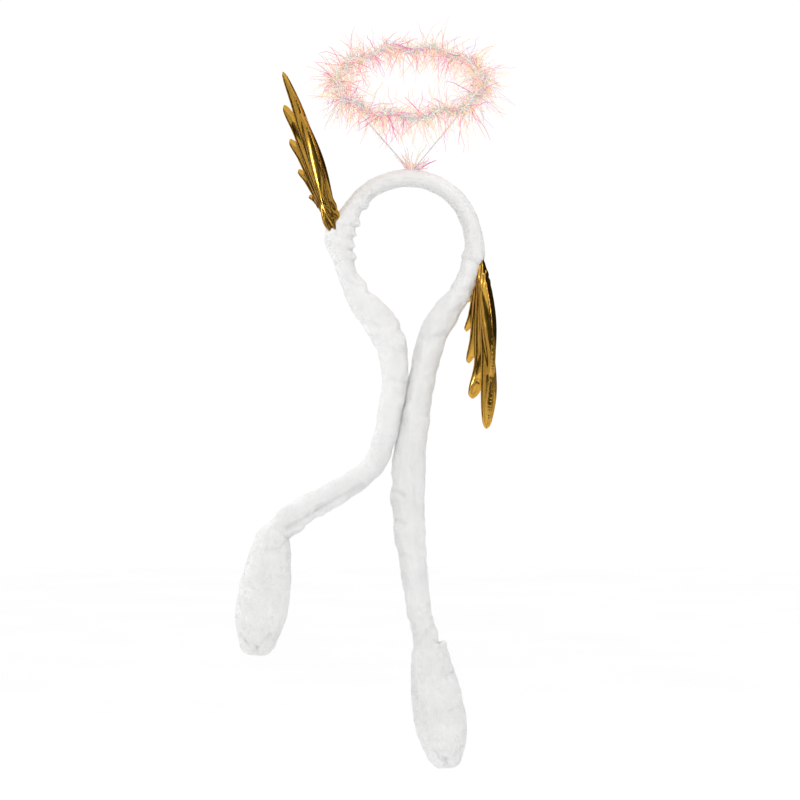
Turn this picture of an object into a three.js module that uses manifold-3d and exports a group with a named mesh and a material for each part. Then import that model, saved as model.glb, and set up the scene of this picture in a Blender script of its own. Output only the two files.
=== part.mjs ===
// Angel headband: a plush arch with two long plush arms that end in squeeze bulbs, a padded gold wing at each
// side, and a tinsel halo on a wire fork. Millimetres, +Z up, +X to the viewer's right, -Y towards the viewer.
// The origin is under the middle of the arch, where it sits on the crown of the head.
import * as THREE from "three";
import { mergeVertices } from "three/addons/utils/BufferGeometryUtils.js";
import Module from "manifold-3d";

const wasm = await Module();
wasm.setup();

// Driving dimensions
const CLEARANCE = 0.4; // between two pieces that touch on the real object
const BAND = { innerRadius: 57, thickness: 17, depth: 24, endAngle: 108, sides: 12, steps: 64 };
const ARM = { topWidth: 20, topDepth: 23, topReach: 12, sides: 12, steps: 40 };
const PUMP = { sides: 14, steps: 16, pleats: 7, pleatStart: 104, pleatDepth: 0.16 };
const WING = { curl: 3, curlReach: 50, sides: 10, steps: 8 };
const TONGUE = { length: 9, overlap: 8, halfWidth: 5, halfThickness: 2 };
const HALO = { radius: 73, x: 1.5, height: 105.5, tilt: 35, wire: 0.8, sides: 5, steps: 48 };
const FORK = { x: 3.5, z: 15, footDepth: 8, joinAngle: 36 };
const GARLAND = { core: 3, turns: 10, phase: 60, sides: 5, steps: 60, locks: 42, lockHalfWidth: 4.6 };
const TUFT = { x: 3.5, z: 20, radius: 4.6, locks: 7, lockHalfWidth: 3.4, lean: 0.35 };

// Where the plush stands proud of the plain arch. Angles are from the top, positive to the right.
const BAND_BULGES = [
  { name: "left pocket, round the raised wing's root", angle: -84, height: 10, spread: 13 },
  { name: "left end, above the arm", angle: -110, height: 3.5, spread: 10 },
  { name: "right pocket, over the lowered wing's root", angle: 106, height: 4.5, spread: 18 },
];

// Gathers of plush on the inside of the arch. Each hangs down to a lip and then steps back.
const BAND_PUCKERS = [
  { angle: -50, height: 2.2 },
  { angle: -69, height: 3.8 },
  { angle: -80, height: 3.6 },
  { angle: -93, height: 3.4 },
  { angle: -105, height: 3.4 },
  { angle: 104, height: 2.4 },
];
const PUCKER_RISE = 9; // degrees from the arch to a pucker's lip
const PUCKER_FALL = 2.6; // degrees from the lip back to the arch

// The arms' middle lines and widths below the band. The left arm is drawn aside to its bulb.
const LEFT_ARM = [
  { x: -46.5, y: -1, z: -113, width: 28.5, depth: 25 },
  { x: -35.5, y: -2, z: -128, width: 32, depth: 26 },
  { x: -25, y: -3, z: -143, width: 34, depth: 26 },
  { x: -18, y: -4, z: -158, width: 32, depth: 26 },
  { x: -15, y: -4, z: -188, width: 27, depth: 24 },
  { x: -19.5, y: -4, z: -218, width: 25, depth: 23 },
  { x: -24, y: -4, z: -248, width: 23, depth: 22 },
  { x: -36.5, y: -3, z: -278, width: 23.5, depth: 22 },
  { x: -56, y: -2, z: -294, width: 24, depth: 22 },
  { x: -78, y: -1, z: -308.5, width: 26.5, depth: 23 },
  { x: -102.5, y: 0, z: -323, width: 27.5, depth: 24 },
  { x: -123, y: 0, z: -338, width: 28, depth: 24 },
  { x: -131, y: 0, z: -345, width: 24, depth: 21 },
  { x: -134, y: 0, z: -348, width: 14, depth: 13 },
];
const RIGHT_ARM = [
  { x: 49.5, y: 0, z: -110, width: 23, depth: 24 },
  { x: 37.5, y: 1, z: -128, width: 28.5, depth: 25 },
  { x: 27.5, y: 2, z: -145, width: 31, depth: 26 },
  { x: 20, y: 3, z: -167, width: 28, depth: 25 },
  { x: 13.5, y: 3, z: -203, width: 27, depth: 24 },
  { x: 8.2, y: 3, z: -233, width: 29, depth: 25 },
  { x: 3, y: 3, z: -263, width: 32, depth: 26 },
  { x: 1, y: 2, z: -293, width: 35, depth: 26 },
  { x: 1, y: 1, z: -318, width: 34, depth: 26 },
  { x: 3, y: 0, z: -345, width: 32, depth: 25 },
  { x: 6, y: 0, z: -373, width: 28, depth: 23 },
  { x: 9.5, y: 0, z: -405, width: 26, depth: 22 },
  { x: 13.2, y: 0, z: -430, width: 26, depth: 22 },
  { x: 17.4, y: 0, z: -453, width: 25.5, depth: 22 },
  { x: 18.6, y: 0, z: -460, width: 16, depth: 14 },
];

// Creases across the sleeves: share of the way down, edge (-1 or 1 across the sleeve), depth and half length.
const LEFT_FOLDS = [
  { along: 0.12, edge: 1, depth: 2.2, reach: 0.012 },
  { along: 0.3, edge: 1, depth: 2.6, reach: 0.014 },
  { along: 0.39, edge: -1, depth: 1.6, reach: 0.012 },
  { along: 0.62, edge: 1, depth: 2.0, reach: 0.012 },
  { along: 0.87, edge: -1, depth: 3.0, reach: 0.016 },
];
const RIGHT_FOLDS = [
  { along: 0.26, edge: 1, depth: 1.8, reach: 0.012 },
  { along: 0.36, edge: 1, depth: 1.6, reach: 0.01 },
  { along: 0.58, edge: -1, depth: 2.2, reach: 0.012 },
  { along: 0.66, edge: -1, depth: 2.2, reach: 0.012 },
  { along: 0.74, edge: -1, depth: 1.8, reach: 0.012 },
];

// A squeeze bulb, from its hem down to its gathered end.
const PUMP_SECTIONS = [
  { along: 0, width: 31, depth: 27 },
  { along: 7, width: 35, depth: 30 },
  { along: 22, width: 42.5, depth: 35 },
  { along: 37, width: 47.5, depth: 38 },
  { along: 52, width: 52, depth: 41 },
  { along: 67, width: 54.5, depth: 43 },
  { along: 82, width: 55.5, depth: 43 },
  { along: 97, width: 53, depth: 41 },
  { along: 110, width: 46, depth: 36 },
  { along: 120, width: 38, depth: 30 },
  { along: 128, width: 28, depth: 22 },
  { along: 131, width: 19, depth: 15 },
];
const PUMPS = [
  { name: "pump_left", x: -133, z: -338, lean: 9 },
  { name: "pump_right", x: 19, z: -450.5, lean: -9.2 },
];

// The padded lobes of a wing: u runs from the root to the tip, v from the leading edge back to the feather tips.
const WING_LOBES = [
  { name: "root", baseU: -5, baseV: 0, tipU: 42, tipV: 1, bow: 0, halfWidth: 11, halfThickness: 6 },
  { name: "panel", baseU: 5, baseV: 2, tipU: 113, tipV: 24, bow: -2, halfWidth: 27, halfThickness: 4.8 },
  { name: "leading edge", baseU: -1, baseV: 0, tipU: 116, tipV: -8, bow: -13, halfWidth: 14, halfThickness: 7.6 },
  { name: "first feather", baseU: 14, baseV: -4, tipU: 159, tipV: 12, bow: -9, halfWidth: 16.5, halfThickness: 6.6 },
  { name: "second feather", baseU: 11, baseV: 0, tipU: 130, tipV: 37, bow: -5, halfWidth: 16, halfThickness: 6.4 },
  { name: "third feather", baseU: 9, baseV: 2, tipU: 97, tipV: 50, bow: -4, halfWidth: 15, halfThickness: 6.2 },
  { name: "fourth feather", baseU: 7, baseV: 2, tipU: 65, tipV: 51, bow: -3, halfWidth: 13.5, halfThickness: 5.8 },
  { name: "fifth feather", baseU: 5, baseV: 1, tipU: 36, tipV: 42, bow: -3, halfWidth: 11, halfThickness: 5.2 },
];
// Each wing swings about its root, from upright to hanging. The flare turns its feather tips out.
const WINGS = [
  { name: "wing_left", side: -1, x: 76.5, z: -36, swing: 16.5, flare: 12 },
  { name: "wing_right", side: 1, x: 72.5, z: -77, swing: 176, flare: 13 },
];

// Materials
const finish = (color, roughness, metalness) => new THREE.MeshStandardMaterial({ color, roughness, metalness });
const PLUSH = finish("#efeeeb", 0.95, 0);
const GOLD = finish("#b8892b", 0.25, 0.9);
const WIRE = finish("#c4c0cc", 0.35, 0.9);
const TINSEL = finish("#f4d2cc", 0.3, 0.2);

const radians = THREE.MathUtils.degToRad;

// Solids and meshes
function solidOf(geometry) {
  const bare = geometry.clone();
  bare.deleteAttribute("normal");
  bare.deleteAttribute("uv");
  const merged = mergeVertices(bare, 1e-3);
  const vertProperties = new Float32Array(merged.attributes.position.array);
  const triVerts = new Uint32Array(merged.index.array);
  return new wasm.Manifold(new wasm.Mesh({ numProp: 3, vertProperties, triVerts }));
}

function geometryOf(solid) {
  const made = solid.getMesh();
  const geometry = new THREE.BufferGeometry();
  geometry.setAttribute("position", new THREE.BufferAttribute(new Float32Array(made.vertProperties), 3));
  geometry.setIndex(new THREE.BufferAttribute(new Uint32Array(made.triVerts), 1));
  return geometry;
}

function joined(geometries) {
  return geometries.map(solidOf).reduce((whole, solid) => whole.add(solid));
}

// The largest body of a solid, without the tips that a cut has parted from it.
function mainBody(solid) {
  return solid.decompose().reduce((best, body) => (body.volume() > best.volume() ? body : best));
}

function meshOf(name, solid, material) {
  const mesh = new THREE.Mesh(geometryOf(solid), material);
  mesh.name = name;
  return mesh;
}

// Moves every vertex of a geometry to where place() puts it.
function warped(geometry, place) {
  const position = geometry.attributes.position;
  const vertex = new THREE.Vector3();
  for (let i = 0; i < position.count; i += 1) {
    const moved = place(vertex.fromBufferAttribute(position, i).clone());
    position.setXYZ(i, moved.x, moved.y, moved.z);
  }
  return geometry;
}

// A soft tube: a unit cylinder bent along a smooth line through the rows, with each row's width and depth.
// relief(along, across, back) gives how far, in mm, a point of the skin is pushed in across the tube.
function softTube(rows, sides, steps, grow = 0, relief = () => 0) {
  const through = (points) => new THREE.CatmullRomCurve3(points, false, "catmullrom", 0.5);
  const line = through(rows.map((row) => new THREE.Vector3(row.x, row.y, row.z)));
  const size = through(rows.map((row) => new THREE.Vector3(row.width, row.depth, 0)));
  const back = new THREE.Vector3(0, 1, 0);
  const cylinder = new THREE.CylinderGeometry(1, 1, 1, sides, steps);
  return warped(cylinder, (p) => {
    const along = THREE.MathUtils.clamp(p.y + 0.5, 0, 1);
    const section = size.getPoint(along);
    const across = new THREE.Vector3().crossVectors(line.getTangent(along), back).normalize();
    const out = p.x * (section.x / 2 + grow) - relief(along, p.x, p.z);
    return line.getPoint(along).addScaledVector(across, out).addScaledVector(back, p.z * (section.y / 2 + grow));
  });
}

// A round wire from one point to another.
function rod(from, to, radius, sides) {
  const line = new THREE.Vector3().subVectors(to, from);
  const geometry = new THREE.CylinderGeometry(radius, radius, line.length(), sides);
  const turn = new THREE.Quaternion().setFromUnitVectors(new THREE.Vector3(0, 1, 0), line.normalize());
  const middle = new THREE.Vector3().addVectors(from, to).multiplyScalar(0.5);
  return geometry.applyQuaternion(turn).translate(middle.x, middle.y, middle.z);
}

// A flat strip of tinsel that tapers from its root to a point.
function lock(root, direction, length, halfWidth) {
  const geometry = new THREE.ConeGeometry(halfWidth, length, 4).scale(1, 1, 0.35).translate(0, length / 2, 0);
  const turn = new THREE.Quaternion().setFromUnitVectors(new THREE.Vector3(0, 1, 0), direction.clone().normalize());
  return geometry.applyQuaternion(turn).translate(root.x, root.y, root.z);
}

// Band
function puckerAt(angle) {
  const heights = BAND_PUCKERS.map((row) => {
    if (Math.sign(angle) !== Math.sign(row.angle)) return 0;
    const past = Math.abs(angle) - Math.abs(row.angle);
    return row.height * Math.max(0, past < 0 ? 1 + past / PUCKER_RISE : 1 - past / PUCKER_FALL);
  });
  return Math.max(...heights);
}

function bandSolid() {
  const angleAt = (along) => BAND.endAngle * (2 * along - 1);
  const rows = Array.from({ length: BAND.steps / 2 + 1 }, (_, i) => {
    const angle = angleAt((2 * i) / BAND.steps);
    const swell = BAND_BULGES.map((row) => row.height * Math.exp(-(((angle - row.angle) / row.spread) ** 2)));
    const thickness = BAND.thickness + swell.reduce((sum, height) => sum + height);
    const middle = BAND.innerRadius + thickness / 2;
    const x = middle * Math.sin(radians(angle));
    const z = middle * Math.cos(radians(angle)) - BAND.innerRadius;
    return { x, y: 0, z, width: thickness, depth: BAND.depth };
  });
  const inward = (along, across) => (across < 0 ? puckerAt(angleAt(along)) * across ** 2 : 0);
  return solidOf(softTube(rows, BAND.sides, BAND.steps, 0, inward));
}

// Arms
// An arm's first two rows: square to the end of the band and just clear of it.
function armTop(side) {
  const turn = radians(BAND.endAngle);
  const middle = BAND.innerRadius + BAND.thickness / 2 + 1;
  return [2 * CLEARANCE, ARM.topReach].map((below) => {
    const x = side * (middle * Math.sin(turn) + below * Math.cos(turn));
    const z = middle * Math.cos(turn) - below * Math.sin(turn) - BAND.innerRadius;
    return { x, y: 0, z, width: ARM.topWidth, depth: ARM.topDepth };
  });
}

function armSolid(side, grow = 0) {
  const [rows, folds] = side < 0 ? [LEFT_ARM, LEFT_FOLDS] : [RIGHT_ARM, RIGHT_FOLDS];
  const crease = (along, across) => {
    const pushes = folds.map((fold) => {
      const share = Math.max(0, across * fold.edge);
      return fold.edge * fold.depth * share ** 2 * Math.exp(-(((along - fold.along) / fold.reach) ** 2));
    });
    return pushes.reduce((sum, push) => sum + push, 0);
  };
  return solidOf(softTube([...armTop(side), ...rows], ARM.sides, ARM.steps, grow, crease));
}

// Pumps
function pumpSolid(row) {
  const length = PUMP_SECTIONS.at(-1).along;
  const lean = radians(row.lean);
  const rows = PUMP_SECTIONS.map((section) => {
    const x = row.x - section.along * Math.sin(lean);
    const z = row.z - section.along * Math.cos(lean);
    return { x, y: 0, z, width: section.width, depth: section.depth };
  });
  // The gathered end: pleats that deepen towards the closing seam.
  const pleat = (along, across, back) => {
    const near = Math.max(0, (along * length - PUMP.pleatStart) / (length - PUMP.pleatStart));
    const wave = 0.5 + 0.5 * Math.cos(PUMP.pleats * Math.atan2(back, across));
    return across * PUMP.pleatDepth * PUMP_SECTIONS.at(-1).width * near * wave;
  };
  return solidOf(softTube(rows, PUMP.sides, PUMP.steps, 0, pleat));
}

// Wings
function wingLobe(row, grow) {
  const lobe = new THREE.SphereGeometry(1, WING.sides, WING.steps);
  return warped(lobe, (p) => {
    const along = (p.y + 1) / 2;
    const fullness = 0.62 + 0.5 * along - 0.12 * along ** 2; // a feather is fuller towards its tip
    const u = THREE.MathUtils.lerp(row.baseU - grow, row.tipU + grow, along);
    const bow = row.bow * 4 * along * (1 - along);
    const v = THREE.MathUtils.lerp(row.baseV, row.tipV, along) + bow - p.z * (row.halfWidth * fullness + grow);
    const curl = WING.curl * (Math.max(0, v) / WING.curlReach) ** 2;
    const padding = row.halfThickness * (1 - 0.45 * THREE.MathUtils.smoothstep(along, 0.45, 1)); // thin at the tip
    return new THREE.Vector3(p.x * (padding + grow) + curl, v, u);
  });
}

function wingSolid(grow = 0) {
  const tongue = new THREE.BoxGeometry(
    2 * (TONGUE.halfThickness + grow),
    2 * (TONGUE.halfWidth + grow),
    TONGUE.length + TONGUE.overlap + 2 * grow,
  ).translate(0, 0, (TONGUE.overlap - TONGUE.length) / 2);
  return joined([tongue, ...WING_LOBES.map((row) => wingLobe(row, grow))]);
}

// The wing's place on the band: mirrored for the left side, swung about its root and flared.
function wingPlace(row) {
  const side = new THREE.Group();
  side.scale.x = row.side;
  const root = new THREE.Group();
  root.position.set(row.x, 0, row.z);
  root.rotation.y = radians(row.swing);
  side.add(root);
  return { side, root };
}

function wingMesh(row) {
  const { side, root } = wingPlace(row);
  const wing = meshOf(row.name, wingSolid(), GOLD);
  wing.rotation.z = -radians(row.flare);
  root.add(wing);
  return side;
}

// The room that a wing takes out of the plush round its root.
function wingRoom(row) {
  const { side, root } = wingPlace(row);
  const wing = new THREE.Object3D();
  wing.rotation.z = -radians(row.flare);
  root.add(wing);
  side.updateMatrixWorld(true);
  return wingSolid(CLEARANCE).transform(wing.matrixWorld.elements);
}

// Halo
const haloPlace = new THREE.Matrix4()
  .makeTranslation(HALO.x, 0, HALO.height)
  .multiply(new THREE.Matrix4().makeRotationX(radians(HALO.tilt)));

// A point beside the ring: angle runs round the ring from +X, with the front at -90 degrees, and turn runs
// round the ring's wire from outwards to upwards.
function besideRing(angle, turn, away) {
  const reach = HALO.radius + away * Math.cos(turn);
  return new THREE.Vector3(reach * Math.cos(angle), reach * Math.sin(angle), away * Math.sin(turn));
}

function frameSolid(grow = 0) {
  const wire = HALO.wire + grow;
  const ring = new THREE.TorusGeometry(HALO.radius, wire, HALO.sides, HALO.steps).applyMatrix4(haloPlace);
  const base = new THREE.Vector3(FORK.x, 0, FORK.z);
  const foot = new THREE.Vector3(FORK.x, 0, FORK.z - FORK.footDepth - grow);
  const above = new THREE.Vector3(FORK.x, 0, FORK.z + 2 * HALO.wire);
  const prongs = [FORK.joinAngle, 180 - FORK.joinAngle].map((angle) => {
    const join = besideRing(-radians(angle), 0, 0).applyMatrix4(haloPlace);
    return rod(base, join, wire, HALO.sides);
  });
  return joined([ring, rod(foot, above, wire, HALO.sides), ...prongs]);
}

// The garland winds round the ring's wire, and its locks stand out on the side away from the wire.
function garlandSolid(room) {
  const away = HALO.wire + CLEARANCE + 0.1 + GARLAND.core;
  const turnAt = (angle) => GARLAND.turns * angle + radians(GARLAND.phase);
  const core = new THREE.TorusGeometry(HALO.radius, 1, GARLAND.sides, GARLAND.steps);
  warped(core, (p) => {
    const angle = Math.atan2(p.y, p.x);
    const outward = Math.hypot(p.x, p.y) - HALO.radius;
    const middle = besideRing(angle, turnAt(angle), away);
    const out = new THREE.Vector3(Math.cos(angle), Math.sin(angle), 0);
    return middle.addScaledVector(out, outward * GARLAND.core).add(new THREE.Vector3(0, 0, p.z * GARLAND.core));
  });
  const locks = Array.from({ length: GARLAND.locks }, (_, i) => {
    const angle = (2 * Math.PI * i) / GARLAND.locks;
    const fan = radians(105) * (2 * ((i * 0.618) % 1) - 1);
    const lean = 0.5 * (2 * ((i * 0.382) % 1) - 1);
    const length = 22 + 11 * ((i * 0.73) % 1);
    const root = besideRing(angle, turnAt(angle), away);
    const out = besideRing(angle, turnAt(angle) + fan, 1).sub(besideRing(angle, 0, 0));
    const round = new THREE.Vector3(-Math.sin(angle), Math.cos(angle), 0);
    return lock(root, out.addScaledVector(round, lean), length, GARLAND.lockHalfWidth);
  });
  const whole = joined([core, ...locks].map((geometry) => geometry.applyMatrix4(haloPlace)));
  return mainBody(whole.subtract(room));
}

// The tuft is tied round the foot of the fork, just above the plush.
function tuftSolid(room) {
  const middle = new THREE.Vector3(TUFT.x, 0, TUFT.z);
  const knot = new THREE.SphereGeometry(TUFT.radius, 10, 6).scale(1, 1, 0.5).translate(middle.x, 0, middle.z);
  const locks = Array.from({ length: TUFT.locks }, (_, i) => {
    const round = (2 * Math.PI * i) / TUFT.locks;
    const rise = 0.8 + 0.7 * ((i * 0.618) % 1);
    const length = 18 + 9 * ((i * 0.382) % 1);
    const direction = new THREE.Vector3(Math.cos(round) + TUFT.lean, Math.sin(round), rise);
    return lock(middle, direction, length, TUFT.lockHalfWidth);
  });
  return mainBody(joined([knot, ...locks]).subtract(room));
}

// Assembly
const [leftRoom, rightRoom] = WINGS.map(wingRoom);
const frameRoom = frameSolid(CLEARANCE);
const [leftPump, rightPump] = PUMPS.map(pumpSolid);
const tuft = tuftSolid(frameRoom);
const band = bandSolid().subtract(leftRoom).subtract(rightRoom).subtract(frameRoom);

const headband = new THREE.Group();
headband.add(
  meshOf("band", mainBody(band), PLUSH),
  meshOf("arm_left", armSolid(-1), PLUSH),
  meshOf("arm_right", mainBody(armSolid(1).subtract(rightRoom)), PLUSH),
  meshOf("pump_left", mainBody(leftPump.subtract(armSolid(-1, CLEARANCE))), PLUSH),
  meshOf("pump_right", mainBody(rightPump.subtract(armSolid(1, CLEARANCE))), PLUSH),
  ...WINGS.map(wingMesh),
  meshOf("halo_frame", frameSolid(), WIRE),
  meshOf("halo_garland", garlandSolid(frameRoom), TINSEL),
  meshOf("stem_tuft", tuft, TINSEL),
);

export default headband;
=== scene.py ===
# %% [markdown]
# # An angel headband
# The real thing is a plush arch for the head with two long plush sleeves. Each sleeve holds an air hose and
# ends in a squeeze bulb, and a squeeze lifts the padded gold wing on that side. A tinsel halo stands on a
# wire fork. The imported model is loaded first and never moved. The plush here is made from copies of its
# solids, and the foil, wire and tinsel are drawn again from the same sizes, so all of it lands in place.

# %% Frame
import bmesh
import bpy
import numpy as np
from math import cos, pi, radians, sin
from mathutils import Matrix, Vector, noise


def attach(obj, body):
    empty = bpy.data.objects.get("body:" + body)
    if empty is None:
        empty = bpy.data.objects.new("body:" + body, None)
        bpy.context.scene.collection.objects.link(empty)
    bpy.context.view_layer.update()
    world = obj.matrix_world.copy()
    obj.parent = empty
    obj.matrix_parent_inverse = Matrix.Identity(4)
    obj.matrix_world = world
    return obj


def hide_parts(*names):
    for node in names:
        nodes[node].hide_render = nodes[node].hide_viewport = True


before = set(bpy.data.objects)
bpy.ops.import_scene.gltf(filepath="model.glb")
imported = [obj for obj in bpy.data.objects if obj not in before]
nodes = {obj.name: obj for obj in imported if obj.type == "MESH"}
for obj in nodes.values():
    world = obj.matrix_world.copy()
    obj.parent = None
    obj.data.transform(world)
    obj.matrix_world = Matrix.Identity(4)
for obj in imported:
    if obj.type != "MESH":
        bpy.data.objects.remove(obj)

MM = 0.001
scene = bpy.context.scene
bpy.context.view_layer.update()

# %% [markdown]
# ## The camera
# The picture shows the headband from straight ahead, level with the middle of its height, from a few metres
# off. A long lens gives the same mild perspective: the frame is 800 mm wide where the headband hangs.

# %% Camera
SENSOR, FOCAL, DISTANCE = 36, 117, 2600  # mm
MIDDLE_X, MIDDLE_Z = -8, -213  # what the middle of the picture shows, in mm

camera_data = bpy.data.cameras.new("camera")
camera_data.sensor_width = SENSOR
camera_data.lens = FOCAL
camera = bpy.data.objects.new("camera", camera_data)
camera.location = (MIDDLE_X * MM, -DISTANCE * MM, MIDDLE_Z * MM)
camera.rotation_euler = (pi / 2, 0, 0)
scene.collection.objects.link(camera)
scene.camera = camera
print("camera sees", round(SENSOR / FOCAL * DISTANCE), "mm across")

# %% [markdown]
# ## The studio
# White plush needs broad soft light, and gold foil needs something dark to mirror, or it turns to plain
# yellow. So the room is white all round, with a plain floor below, and one large soft lamp stands in front,
# higher than the camera and a little to the left. Two narrow lamps draw bright lines along the foil, and
# grey cards give it its dark ones. Blender can hide an object from one kind of ray: most cards are hidden
# from all but mirrored rays, so plush and floor stay white. Two of them also shade the plush.

# %% Shader helpers
def new_material(name):
    material = bpy.data.materials.new(name)
    material.use_nodes = True
    shader = material.node_tree.nodes["Principled BSDF"]
    return material, material.node_tree, shader


def feed(node, values):
    """Sets a node's inputs, each to a value, or from another node's socket or first output."""
    for key, value in values.items():
        if isinstance(value, bpy.types.Node):
            value = value.outputs[0]
        if isinstance(value, bpy.types.NodeSocket):
            node.id_data.links.new(value, node.inputs[key])
        else:
            node.inputs[key].default_value = value


def add_node(tree, kind, **settings):
    """A new node. Each setting is an input where the node has one of that name, or else a property."""
    node = tree.nodes.new(kind)
    for key, value in settings.items():
        if key in node.inputs:
            feed(node, {key: value})
        else:
            setattr(node, key, value)
    return node


def grain(tree, **settings):
    """Noise on the piece's own coordinates."""
    place = tree.nodes.new("ShaderNodeTexCoord").outputs["Object"]
    return add_node(tree, "ShaderNodeTexNoise", Vector=place, **settings)


def ramp(source, stops):
    """A colour ramp with (position, colour) stops, fed from a socket."""
    node = add_node(source.id_data, "ShaderNodeValToRGB", Fac=source)
    elements = node.color_ramp.elements
    while len(elements) < len(stops):
        elements.new(0.5)
    for element, (position, colour) in zip(elements, stops):
        element.position = position
        element.color = (*colour, 1)
    return node


# %% Floor and cards
def stage_mesh(name, start, run, rise, grey):
    """A flat piece of the studio from one corner along two sides, in mm, with a faint grain."""
    start, run, rise = (Vector(v) * MM for v in (start, run, rise))
    mesh = bpy.data.meshes.new(name)
    mesh.from_pydata([start, start + run, start + run + rise, start + rise], [], [(0, 1, 2, 3)])
    obj = bpy.data.objects.new(name, mesh)
    material, tree, shader = new_material(name)
    tint = ramp(grain(tree, Scale=3.0, Detail=3.0), [(0.35, (0.985 * grey,) * 3), (0.65, (grey,) * 3)])
    feed(shader, {"Base Color": tint, "Roughness": 0.9, "Specular IOR Level": 0.1})
    mesh.materials.append(material)
    scene.collection.objects.link(obj)
    return obj


def card(name, start, run, rise, grey, shades=False):
    """A grey card. Only mirrored rays see it, unless it shades."""
    obj = stage_mesh(name, start, run, rise, grey)
    obj.visible_camera = obj.visible_transmission = False
    obj.visible_diffuse = obj.visible_shadow = shades


stage_mesh("floor", (-5000, -5000, -700), (10000, 0, 0), (0, 10000, 0), 0.97)
# Each row: name, corner, first side, second side, grey, and True where it shades the plush too.
# Gaps between the cards become bright streaks in the foil.
CARDS = [
    ("left_back", (-780, 1180, -500), (0, 1400, 0), (0, 0, 800), 0.60),
    ("left_dark", (-780, 470, -500), (0, 640, 0), (0, 0, 800), 0.02),
    ("left_middle", (-800, -60, -500), (0, 480, 0), (0, 0, 800), 0.55),
    ("left_front", (-800, -1500, -500), (0, 1250, 0), (0, 0, 800), 0.04),
    ("right_high", (800, -760, -170), (0, 3760, 0), (0, 0, 1700), 0.02),
    ("right_high_front", (1250, -2700, -170), (-420, 1900, 0), (0, 0, 1030), 0.03),
    ("right_mid", (770, -300, -350), (0, 1500, 0), (0, 0, 180), 0.20),
    ("right_low_back", (780, 320, -600), (0, 2000, 0), (0, 0, 430), 0.65),
    ("right_low_front", (800, -800, -690), (0, 1050, 0), (0, 0, 520), 0.34),
    ("behind_camera", (-700, -2800, -650), (1600, 0, 0), (0, 0, 1500), 0.04),
    ("right_shade", (830, -1500, -540), (0, 1400, 0), (0, 0, 690), 0.10, True),
    ("left_shade", (-830, -1500, -540), (0, 1450, 0), (0, 0, 790), 0.06, True),
    ("floor_front", (-800, -2700, -690), (1800, 0, 0), (0, 2300, 0), 0.08),
]
for row in CARDS:
    card(*row)
print("floor and", len(CARDS), "cards")

# %% Lamps and room
# Each row: name, place, what it points at, width and height in mm, power in watts.
LAMPS = [
    ("key", (-150, -1500, 620), (0, 0, -120), 700, 700, 6.2),
    ("right_strip", (1040, -1680, 80), (0, 0, 0), 70, 900, 4.5),
    ("left_strip", (-780, 60, -150), (0, 0, -150), 45, 300, 1.8),
]
ROOM_LIGHT = 1.03


def lamp(name, place, aim, width, height, power):
    data = bpy.data.lights.new(name, "AREA")
    data.shape = "RECTANGLE"
    data.size, data.size_y = width * MM, height * MM
    data.energy = power
    obj = bpy.data.objects.new(name, data)
    obj.location = Vector(place) * MM
    obj.rotation_euler = (Vector(aim) * MM - obj.location).to_track_quat("-Z", "Y").to_euler()
    scene.collection.objects.link(obj)


for row in LAMPS:
    lamp(*row)
room = bpy.data.worlds.new("room")
room.use_nodes = True
feed(room.node_tree.nodes["Background"], {"Color": (1, 1, 1, 1), "Strength": ROOM_LIGHT})
scene.world = room
scene.view_settings.view_transform = "Standard"
scene.view_settings.look = "None"
print(len(LAMPS), "lamps in a white room")

# %% [markdown]
# ## White plush
# The cloth is a short-pile white plush. Seen close, it is a fine field of fibres, each with a random tone of
# its own, and the skin between the tufts is painted a little grey, as painted shade. Broad soft clouds,
# lighter and darker, are painted sheen for the pile catching the light where it lies in different
# directions. The clouds come from noise on the piece's own coordinates. The fibres are real geometry.

# %% Plush material
def multiply_colours(first, second):
    node = add_node(first.id_data, "ShaderNodeMix", data_type="RGBA", blend_type="MULTIPLY", Factor=1.0)
    feed(node, {6: first, 7: second})  # the two colour inputs
    return node.outputs[2]


def bump(height, strength, distance):
    return add_node(height.id_data, "ShaderNodeBump", Height=height, Strength=strength, Distance=distance)


def attribute(tree, name):
    return add_node(tree, "ShaderNodeAttribute", attribute_name=name).outputs["Fac"]


def plush_material():
    material, tree, shader = new_material("white_plush")
    # Painted sheen: noise clouds lighten and darken the plush colour where the pile would catch the light
    # differently.
    clouds = grain(tree, Scale=38.0, Detail=4.0, Roughness=0.6)
    painted_nap_sheen = ramp(clouds, [(0.32, (0.86, 0.86, 0.855)), (0.68, (0.92, 0.92, 0.915))])
    # Random tone for each fibre, and painted shade: the skin between the fibres is greyer than most fibres.
    fibre_tone_and_painted_shade = ramp(attribute(tree, "shade"), [(0.0, (0.90, 0.90, 0.895)), (1.0, (1.0, 1.0, 1.0))])
    knap = bump(grain(tree, Scale=900.0, Detail=2.0), 0.12, 0.6 * MM)
    feed(shader, {
        "Base Color": multiply_colours(painted_nap_sheen, fibre_tone_and_painted_shade), "Normal": knap,
        "Roughness": 0.95, "Specular IOR Level": 0.12, "Sheen Weight": 0.12, "Sheen Roughness": 0.5})
    return material


PLUSH = plush_material()
print("made", PLUSH.name)

# %% [markdown]
# ## Stuffed cloth
# A stuffed tube of plush is not a turned shape: its skin has spare cloth, so it puckers where it is held and
# swells between. Modelling each swell by hand would be slow and would look it. Instead the solid is copied,
# covered in an even net of quads, and blown up a little by Blender's cloth, with its ends held still.

# %% Points of a mesh
def vectors(collection, label):
    flat = np.empty(len(collection) * 3)
    collection.foreach_get(label, flat)
    return flat.reshape(-1, 3)


def coordinates(piece):
    return vectors(piece.data.vertices, "co")


def normals(piece):
    return vectors(piece.data.vertex_normals, "vector")


def set_coordinates(piece, points):
    piece.data.vertices.foreach_set("co", np.asarray(points).ravel())
    piece.data.update()


def smooth_step(value, low, high):
    """0 up to low, 1 from high on, and a soft rise between."""
    share = np.clip((value - low) / (high - low), 0, 1)
    return share * share * (3 - 2 * share)


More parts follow.
